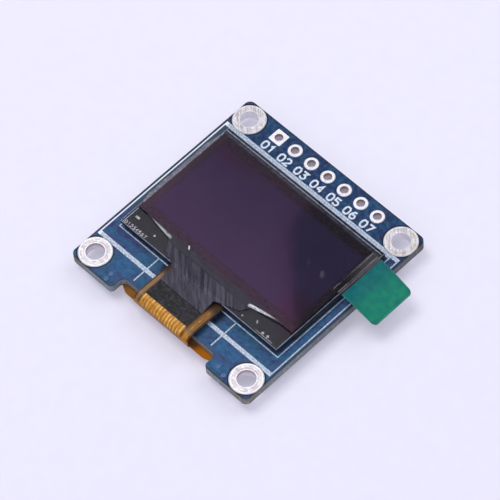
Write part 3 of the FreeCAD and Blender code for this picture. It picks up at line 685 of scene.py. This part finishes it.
def resistor_ceramic():
    """A black glazed strip on the outer face over white ceramic sides."""
    s = Shader("resistor_ceramic")
    grain = s.noise(0.08, 3.0)
    outer = corners("resistor_body_1")[0].z
    glazed = s.ramp(s.z, outer + 0.10, outer + 0.07)
    tone = s.mix(s.vary(grain), (0.68, 0.67, 0.62), (0.80, 0.79, 0.74))
    return s.finish(s.surface(s.mix(glazed, tone, (0.014, 0.014, 0.016)),
                              s.pick(glazed, 0.6, 0.22), grain, 0.004))


def driver_silicon():
    """Polished dark silicon with fine lines of circuitry."""
    s = Shader("driver_silicon")
    lines = s.both(s.lines(s.x, 0.09), s.lines(s.y, 0.13))
    return s.finish(s.surface(
        s.mix(s.ramp(lines, 0.2, 0.6), (0.10, 0.10, 0.13), (0.23, 0.22, 0.25)),
        s.ramp(lines, 0.2, 0.6, 0.12, 0.30), Metallic=0.6))


def dress(material, *names):
    for name in names:
        mesh = nodes[name].data
        mesh.materials.clear()
        mesh.materials.append(material)


def numbered(stem, count):
    return [f"{stem}_{i}" for i in range(1, count + 1)]


def bevel(width, *names):
    """Rounded edges on carried-over solids that would have none."""
    for name in names:
        modifier = nodes[name].modifiers.new("rounded_edges", "BEVEL")
        modifier.width = width * MM
        modifier.segments = 2
        modifier.limit_method = "ANGLE"
        modifier.angle_limit = math.radians(50)


# Finishes
white = printed_ink("printed_ink", (0.24, 0.34, 0.46), (0.62, 0.70, 0.79), ink_low.y + 1.85,
                    ink_high.y - 0.25)
bright_ink = printed_ink("figure_ink", (0.50, 0.58, 0.68), (0.80, 0.86, 0.93), 99, 99)
ledge_ink = plain("ledge_ink", (0.20, 0.185, 0.19), (0.62, 0.58, 0.60), 0.14, 0.4, 0.6, 0.001)
copper_under_mask = masked_copper()
ring_tin = metal("levelled_tin", (0.80, 0.775, 0.79), (0.56, 0.54, 0.56), 0.28, 0.45, 0.6, 0.03,
                 ((0.56, 0.48, 0.50), (0.94, 0.90, 0.95)), 0.45, ringed=True)
pad_tin = metal("pad_tin", (0.95, 0.93, 0.95), (0.74, 0.72, 0.74), 0.28, 0.45, 0.4, 0.02,
                ((0.34, 0.28, 0.25), (0.92, 0.86, 0.88)), 0.35)
end_tin = metal("satin_tin", (0.80, 0.80, 0.80), (0.60, 0.60, 0.61), 0.30, 0.45, 0.25, 0.006)
solder_tin = metal("shiny_solder", (0.86, 0.86, 0.87), (0.70, 0.70, 0.71), 0.12, 0.26, 0.4, 0.008)

dress(solder_mask(), "printed_circuit_board")
dress(white, "silkscreen_front", "silkscreen_back")
dress(ring_tin, *numbered("mount_plating", MOUNT_COUNT))
dress(pad_tin, *numbered("header_plating", PIN_COUNT), "flex_contacts", "component_lands")
dress(end_tin, "regulator_leads", *numbered("capacitor_ends", CAPACITORS),
      *numbered("resistor_ends", RESISTORS))
dress(solder_tin, "solder_joints")
dress(front_panel_glass(), "front_glass")
dress(rear_panel_glass(), "rear_glass")
dress(polarizer_sheet(), "polarizer")
dress(driver_silicon(), "driver_chip")
dress(cable_film(), "flex_cable")
dress(dark_patch(), "flex_ink")
dress(clear_film(), "protective_film")
dress(tab_film(), "pull_tab")
dress(capacitor_ceramic(), *numbered("capacitor_body", CAPACITORS))
dress(resistor_ceramic(), *numbered("resistor_body", RESISTORS))
for node, *look in (
        ("display_tape", "black_tape", (0.010, 0.010, 0.011), (0.028, 0.028, 0.030), 0.2, 0.7, 0.9),
        ("desiccant_sheet", "drying_sheet", (0.55, 0.55, 0.52), (0.70, 0.70, 0.66), 0.3, 0.7, 0.9),
        ("edge_seal", "cured_glue", (0.05, 0.06, 0.065), (0.12, 0.14, 0.15), 0.5, 0.2, 0.4),
        ("oled_layer", "light_layers", (0.008, 0.005, 0.012), (0.016, 0.010, 0.024), 2.0, 0.06, 0.12),
        ("regulator_body", "moulded_black", (0.010, 0.010, 0.011), (0.030, 0.030, 0.031), 0.06, 0.45,
         0.7, 0.01)):
    dress(plain(*look), node)
bevel(0.03, "polarizer", "front_glass", "rear_glass", "regulator_body")
bevel(0.02, *numbered("capacitor_body", CAPACITORS), *numbered("resistor_body", RESISTORS))
bevel(0.04, "printed_circuit_board")


def new_mesh(name, shape, material):
    """A mesh from points in millimetres and faces."""
    points, faces = shape
    mesh = bpy.data.meshes.new(name)
    mesh.from_pydata([tuple(c * MM for c in p) for p in points], [], faces)
    mesh.materials.append(material)
    return mesh


def new_object(name, data):
    made = bpy.data.objects.new(name, data)
    bpy.context.scene.collection.objects.link(made)
    return made


def new_piece(name, shape, material, smooth=False):
    """A fine piece, riding on the one body."""
    mesh = new_mesh(name, shape, material)
    normals = bmesh.new()
    normals.from_mesh(mesh)
    bmesh.ops.recalc_face_normals(normals, faces=normals.faces)
    normals.to_mesh(mesh)
    normals.free()
    if smooth:
        mesh.shade_smooth()
    piece = new_object(name, mesh)
    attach(piece, "root")
    return piece


def joined(shapes):
    points, faces = [], []
    for p, f in shapes:
        start = len(points)
        points += p
        faces += [tuple(i + start for i in face) for face in f]
    return points, faces


def lofted(rings, tip=None):
    """A closed skin over rings of points, flat at both ends or run to a tip at the last."""
    count = len(rings[0])
    last = count * (len(rings) - 1)
    points = [p for ring in rings for p in ring]
    faces = [tuple(range(count))]
    for a in range(0, last, count):
        for j in range(count):
            k = (j + 1) % count
            faces.append((a + j, a + k, a + count + k, a + count + j))
    if tip is None:
        faces.append(tuple(range(last, last + count)))
    else:
        points.append(tip)
        faces += [(last + j, last + (j + 1) % count, last + count) for j in range(count)]
    return points, faces


def ribbon(points, width, z0, z1):
    """A flat band along a line in plan, with mitred corners."""
    line = [Vector(p) for p in points]
    rings = []
    for i, p in enumerate(line):
        before = (p - line[i - 1]).normalized() if i else (line[1] - p).normalized()
        after = (line[i + 1] - p).normalized() if i + 1 < len(line) else before
        side = Vector((-(before + after).y, (before + after).x)).normalized()
        reach = width / 2 / max(0.4, side.dot(Vector((-before.y, before.x))))
        rings.append([(p.x + side.x * reach * sign, p.y + side.y * reach * sign, z)
                      for sign, z in ((1, z0), (-1, z0), (-1, z1), (1, z1))])
    return lofted(rings)


def via(x, y, z, way):
    """A small hole closed by mask: a low ring with a sunk middle."""
    turns = [2 * math.pi * j / VIA_STEPS for j in range(VIA_STEPS)]
    rings = [[(x + radius * math.cos(turn), y + radius * math.sin(turn), z + way * height)
              for turn in turns] for radius, height in VIA_PROFILE]
    return lofted(rings, (x, y, z + way * VIA_MIDDLE))


def solder_hill(x0, x1, y_wall, y_toe, z_face, rise, columns=8, rows=8):
    """Solder that climbs a wall at one end and thins out to its toe, rounded across its width."""
    points, faces = [], []
    for i in range(rows + 1):
        v = i / rows
        pinch = 1 - 0.12 * v * v
        for j in range(columns + 1):
            u = 2 * j / columns - 1
            across = (1 - abs(u) ** 3) ** 0.8
            points.append(((x0 + x1) / 2 + (x1 - x0) / 2 * u * pinch, y_wall + (y_toe - y_wall) * v,
                           z_face + rise * across * (1 - v) ** 1.7))
    grid = columns + 1
    for i in range(rows):
        for j in range(columns):
            a = i * grid + j
            faces.append((a, a + 1, a + grid + 1, a + grid))
    wall = list(range(grid))
    toe = [rows * grid + j for j in range(grid)]
    left = [i * grid for i in range(rows + 1)]
    right = [i * grid + columns for i in range(rows + 1)]
    faces.append(tuple(wall[1:-1] + [wall[-1], wall[0]]))
    faces.append(tuple(left + toe[1:] + right[::-1][1:-1] + [wall[-1]]))
    return points, faces


# Printed figures, drawn with strokes in a box of one by one
FIGURES = {
    "0": [[(0, 0.25), (0, 0.75), (0.25, 1), (0.75, 1), (1, 0.75), (1, 0.25), (0.75, 0), (0.25, 0),
           (0, 0.25)]],
    "1": [[(0.15, 0.75), (0.55, 1), (0.55, 0)]],
    "2": [[(0, 0.8), (0.25, 1), (0.75, 1), (1, 0.8), (1, 0.6), (0, 0), (1, 0)]],
    "3": [[(0, 1), (1, 1), (0.5, 0.6), (0.8, 0.55), (1, 0.35), (1, 0.2), (0.75, 0), (0.25, 0),
           (0, 0.2)]],
    "4": [[(0.75, 0), (0.75, 1), (0, 0.3)], [(0.04, 0.3), (1, 0.3)]],
    "5": [[(1, 1), (0.1, 1), (0.05, 0.6), (0.7, 0.6), (1, 0.4), (1, 0.2), (0.75, 0), (0.25, 0),
           (0, 0.15)]],
    "6": [[(0.85, 1), (0.4, 0.95), (0.05, 0.5), (0, 0.25), (0.25, 0), (0.75, 0), (1, 0.2),
           (1, 0.4)], [(1, 0.4), (0.75, 0.58), (0.1, 0.5)]],
    "7": [[(0, 1), (1, 1), (0.35, 0)]],
}


def figures(text, x, y, width, height, gap, pen, z0, z1, mirrored=False):
    """Figures in a row, centred on a place, their foot at y. A second stroke lies a little lower
    at both faces, so that no two faces lie in one plane where strokes cross."""
    total = len(text) * width + (len(text) - 1) * gap
    way = -1 if mirrored else 1
    shapes = []
    for i, sign in enumerate(text):
        left = i * (width + gap) - total / 2
        for k, line in enumerate(FIGURES[sign]):
            inset = 0.2 * (z1 - z0) * (k > 0)
            points = [(x + way * (left + px * width), y + py * height) for px, py in line]
            shapes.append(ribbon(points, pen, z0 + inset, z1 - inset))
    return shapes


def pin_figures():
    """Plain numbers beside the pins, on both faces."""
    size = (0.64, 0.92, 0.30, 0.22)
    front, back = [], []
    for i, node in enumerate(numbered("header_plating", PIN_COUNT), 1):
        place = middle(node)
        front += figures(f"0{i}", place.x, place.y - 2.14, *size, board_top, board_top + INK_T)
        back += figures(f"{i}", place.x, place.y - 2.12, *size, -INK_T, 0, mirrored=True)
    new_piece("pin_numbers_front", joined(front), bright_ink)
    new_piece("pin_numbers_back", joined(back), white)


def part_figures():
    """A number beside each small part on the back."""
    shapes = []
    for stem, count, foot in (("capacitor_body", CAPACITORS, 1.65), ("resistor_body", RESISTORS, -1.75)):
        for i, node in enumerate(numbered(stem, count), 1):
            place = middle(node)
            shapes += figures(f"{i}", place.x, place.y + foot, 0.36, 0.6, 0.2, 0.11, -INK_T, 0,
                              mirrored=True)
    new_piece("part_numbers_back", joined(shapes), white)


def tracks():
    """Copper under the mask: wide areas by the cable, lines from the pins, lines on the back. Each
    group has its own height, so that no two faces lie in one plane where tracks meet."""
    top = (board_top, board_top + COPPER_T)
    upper = (board_top, board_top + COPPER_T * 0.7)
    under, under_caps, under_caps_far, under_resistors = [(-COPPER_T * share, 0)
                                                          for share in (1.0, 0.85, 0.7, 0.55)]
    front = [ribbon(line, width, *level) for width, level, *line in (
        (1.9, top, (-9.3, -11.05), (-6.6, -11.05)),
        (1.5, top, (6.5, -10.9), (9.4, -10.9)),
        (1.1, top, (7.6, -12.9), (9.2, -12.9)),
        (0.5, top, (-12.9, -8.75), (-6.6, -8.75)),
        (0.4, upper, (-8.45, -12.0), (-8.4, -13.4)),
        (0.42, top, (5.2, -8.85), (11.2, -8.85), (12.8, -7.3), (12.8, 4.6)),
        (0.3, upper, (8.9, -11.9), (9.6, -12.6), (9.6, -13.3)))]
    back = []
    for i, node in enumerate(numbered("header_plating", PIN_COUNT)):
        x, y = middle(node).xy
        wide = 0.55 if i < 2 else 0.28
        lean = 0.5 if i % 2 else -0.6
        front.append(ribbon([(x, y - 0.6), (x + lean, y - 1.3), (x + lean, 9.2)], wide, *top))
        back.append(ribbon([(x, y - 0.6), (x, 8.2 - 0.7 * i), (x * 0.8, 7.6 - 0.7 * i), (x * 0.8, 1.8)],
                           wide * 0.8, *under))
    for i, node in enumerate(numbered("capacitor_body", CAPACITORS)):
        x, y = middle(node).xy
        column = (i * 5 + 2 - (CONTACT_COUNT - 1) / 2) * CONTACT_PITCH
        back.append(ribbon([(x, y - 1.0), (x, y - 1.6), (column, y - 2.2),
                            (column, joints_high.y - 0.2)], 0.24, *under_caps))
        back.append(ribbon([(x, y + 1.0), (x, y + 2.1 + 0.2 * i), (x + 0.9, y + 3.0 + 0.2 * i)],
                           0.24, *under_caps_far))
    for node in numbered("resistor_body", RESISTORS):
        x, y = middle(node).xy
        back.append(ribbon([(x, y + 1.2), (x, y + 2.6), (x - 1.1, y + 3.6), (x - 1.1, y + 6.5)],
                           0.24, *under_resistors))
    new_piece("tracks_front", joined(front), copper_under_mask)
    new_piece("tracks_back", joined(back), copper_under_mask)


def vias():
    """Small holes closed by mask: those on both faces, and more behind."""
    shown = [(-8.45, -12.7), (-8.4, -13.48), (8.4, -12.9), (7.9, -8.85), (-10.9, -8.75), (9.6, -13.3),
             (-12.9, 6.1), (12.8, 4.6)]
    hidden = [(-5.0, 6.4), (-3.2, 7.3), (0.6, 5.2), (3.1, 6.6), (6.9, 5.8), (-8.6, 3.0), (9.4, 6.2),
              (-10.6, -2.4), (10.4, -3.9), (-1.4, 3.4), (4.4, 3.2)]
    new_piece("vias_front", joined([via(x, y, board_top, 1) for x, y in shown]),
              capped_via(), smooth=True)
    new_piece("vias_back", joined([via(x, y, 0, -1) for x, y in shown + hidden]),
              copper_under_mask, smooth=True)


def ledge_marks():
    """Fine pale marks on the glass ledge: a row of figures, dots and two crosses with a line."""
    z = (glass_high.z, glass_high.z + LEDGE_INK_T)
    marks = figures("01234567", -10.0, -7.50, 0.26, 0.36, 0.16, 0.085, *z)
    marks += [ribbon(line, width, *z) for width, *line in (
        (0.27, (-11.2, -6.1), (-10.62, -6.1)),
        (0.22, (-7.95, -6.5), (-7.72, -6.5)),
        (0.15, (8.0, -6.42), (8.28, -6.70)),
        (0.17, (6.3, -7.05), (6.45, -7.15)),
        (0.05, (8.7, -7.38), (11.2, -7.38)))]
    arm = 0.19
    for x, y in ((9.55, -7.15), (10.25, -7.10)):
        marks.append(ribbon([(x - arm, y), (x + arm, y)], 0.10, *z))
        marks.append(ribbon([(x, y - arm), (x, y + arm)], 0.10, z[0], z[1] - 0.001))
    new_piece("ledge_marks", joined(marks), ledge_ink)


def film_margin():
    """The film's free left margin, a little beyond the glass, with a raised lip."""
    rows = 24
    low, high = film_low.y + 5.35, film_high.y - 0.02
    section = ((0.0, -0.02), (-0.24, -0.03), (-0.52, -0.10), (-0.52, -0.13), (-0.24, -0.07), (0.0, -0.06))
    rings = []
    for i in range(rows + 1):
        y = low + (high - low) * i / rows
        ease = min(1.0, 9 * i / rows, 6 * (rows - i) / rows)
        wave = 0.04 * math.sin(2.1 * y) * ease
        rings.append([(film_low.x + 0.02 + (dx + wave * (dx < -0.3)) * (0.4 + 0.6 * ease), y,
                       film_high.z + dz) for dx, dz in section])
    new_piece("film_margin", lofted(rings), film_margin_finish())


def solder():
    """Rounded solder on the row of contacts, and fillets at the ends of the small parts."""
    beads = []
    half = CONTACT_W / 2
    for i in range(CONTACT_COUNT):
        x = (i - (CONTACT_COUNT - 1) / 2) * CONTACT_PITCH
        beads.append(solder_hill(x - half, x + half, joints_low.y, joints_high.y, joints_high.z,
                                 joints_low.z - joints_high.z, 6, 6))
    fillets = []
    for stem, count, rise in (("capacitor_ends", CAPACITORS, 0.42), ("resistor_ends", RESISTORS, 0.26)):
        for node in numbered(stem, count):
            low, high = corners(node)
            for wall, toe in ((low.y, low.y - 0.36), (high.y, high.y + 0.36)):
                fillets.append(solder_hill(low.x + 0.02, high.x - 0.02, wall, toe, high.z, -rise))
    piece = new_piece("solder_beads", joined(beads), solder_tin, smooth=True)
    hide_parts("solder_joints")
    new_piece("solder_fillets", joined(fillets), solder_tin, smooth=True)


pin_figures()
part_figures()
tracks()
vias()
ledge_marks()
film_margin()
solder()


def make_camera():
    """The camera, with azimuth 0 looking along +Y."""
    a, e, roll = (math.radians(v) for v in (CAMERA_AZIMUTH, CAMERA_ELEVATION, CAMERA_ROLL))
    back = Vector((math.sin(a) * math.cos(e), -math.cos(a) * math.cos(e), math.sin(e)))
    level = Vector((math.cos(a), math.sin(a), 0))
    upward = back.cross(level)
    right = math.cos(roll) * level + math.sin(roll) * upward
    up = -math.sin(roll) * level + math.cos(roll) * upward
    place = (Vector(CAMERA_TARGET) + back * CAMERA_DISTANCE) * MM
    data = bpy.data.cameras.new("camera")
    data.sensor_width = SENSOR
    data.lens = CAMERA_FOCAL_PIXELS * SENSOR / PICTURE_PIXELS
    data.clip_start, data.clip_end = 0.01, 50
    camera = new_object("camera", data)
    camera.matrix_world = Matrix.Translation(place) @ Matrix((right, up, back)).transposed().to_4x4()
    bpy.context.scene.camera = camera
    return camera


def staged_square(name, reach, z, material):
    """A level square of the studio, centred on the upright axis."""
    square = [(-reach, -reach, z), (reach, -reach, z), (reach, reach, z), (-reach, reach, z)]
    made = new_object(name, new_mesh(name, (square, [(0, 1, 2, 3)]), material))
    return made


def floor_material():
    """Pale floor that keeps a soft shadow. Its own glow only shows to the camera and in gloss."""
    s = Shader("floor")
    rays = s.add("ShaderNodeLightPath").outputs
    seen = s.either(rays["Is Camera Ray"], rays["Is Glossy Ray"], rays["Is Transmission Ray"])
    tone = s.mix(s.vary(s.noise(1.5, 3.0)), (0.84, 0.84, 0.93), (0.86, 0.86, 0.95))
    return s.finish(s.blend(s.both(seen, FLOOR_GLOW), s.surface(tone, 0.9, gloss=0.1),
                            s.glow(PALE, 1.0)))


def make_sky():
    world = bpy.data.worlds.new("studio")
    world.use_nodes = True
    tree = world.node_tree
    tree.nodes.clear()
    rays, level, back, output = [tree.nodes.new(f"ShaderNode{kind}") for kind in
                                 ("LightPath", "MapRange", "Background", "OutputWorld")]
    level.inputs["To Min"].default_value = SKY_LIGHT
    level.inputs["To Max"].default_value = SKY_SEEN
    back.inputs["Color"].default_value = (*PALE, 1)
    tree.links.new(rays.outputs["Is Camera Ray"], level.inputs["Value"])
    tree.links.new(level.outputs[0], back.inputs["Strength"])
    tree.links.new(back.outputs[0], output.inputs["Surface"])
    bpy.context.scene.world = world


def make_reflector(eye):
    """A card overhead whose edge lies in the display's reflection. Its own coordinates are the
    places on the display where it is seen, so its edge is given as a line on the display."""
    spread = 1 + CARD_HEIGHT / (eye.z - polarizer_high.z)
    s = Shader("reflector")
    along = s.sum(s.both(s.x, math.sin(CARD_TURN)), s.both(s.y, math.cos(CARD_TURN)))
    dark = s.both(s.ramp(along, 3.2, 6.2), s.ramp(s.x, 0.6, 3.0))
    fall = s.ramp(s.y, 10.0, -4.0, 0.40, 1.0)
    edge = s.both(s.ramp(along, 2.2, 3.8), s.ramp(s.x, 0.2, 2.0))
    glow = s.glow(s.mix(edge, (0.93, 0.92, 1.0), (0.95, 0.72, 0.84)),
                  s.both(fall, s.pick(dark, 1.24, 0.05)))
    card = staged_square("reflector", CARD_REACH, 0, s.finish(glow))
    card.location = Vector((eye.x * (1 - spread), eye.y * (1 - spread),
                            polarizer_high.z + CARD_HEIGHT)) * MM
    card.scale = (spread, spread, 1)
    card.visible_camera = False
    card.visible_diffuse = False
    card.visible_shadow = False


def softbox(name, toward, distance, size, share, colour):
    """A square lamp. A white face turned to it alone renders at the share."""
    data = bpy.data.lights.new(name, "AREA")
    data.shape = "SQUARE"
    data.size = size * MM
    data.energy = share * math.pi ** 2 * (distance * MM) ** 2
    data.color = colour
    lamp = new_object(name, data)
    way = Vector(toward).normalized()
    lamp.location = way * distance * MM
    lamp.rotation_mode = "QUATERNION"
    lamp.rotation_quaternion = way.to_track_quat("Z", "Y")


camera = make_camera()
staged_square("floor", FLOOR_REACH, cad_box[0].z / MM - FLOOR_GAP, floor_material())
make_sky()
make_reflector(camera.location / MM)
softbox("key", (-0.35, -0.06, 0.95), 600, 300, 0.475, (1.0, 0.985, 0.98))
softbox("top", (0.10, 0.62, 0.78), 700, 480, 0.29, (0.97, 0.98, 1.0))
softbox("fill", (0.30, -0.80, 0.52), 700, 420, 0.11, (0.98, 0.98, 1.0))

bpy.context.scene.view_settings.view_transform = "Standard"
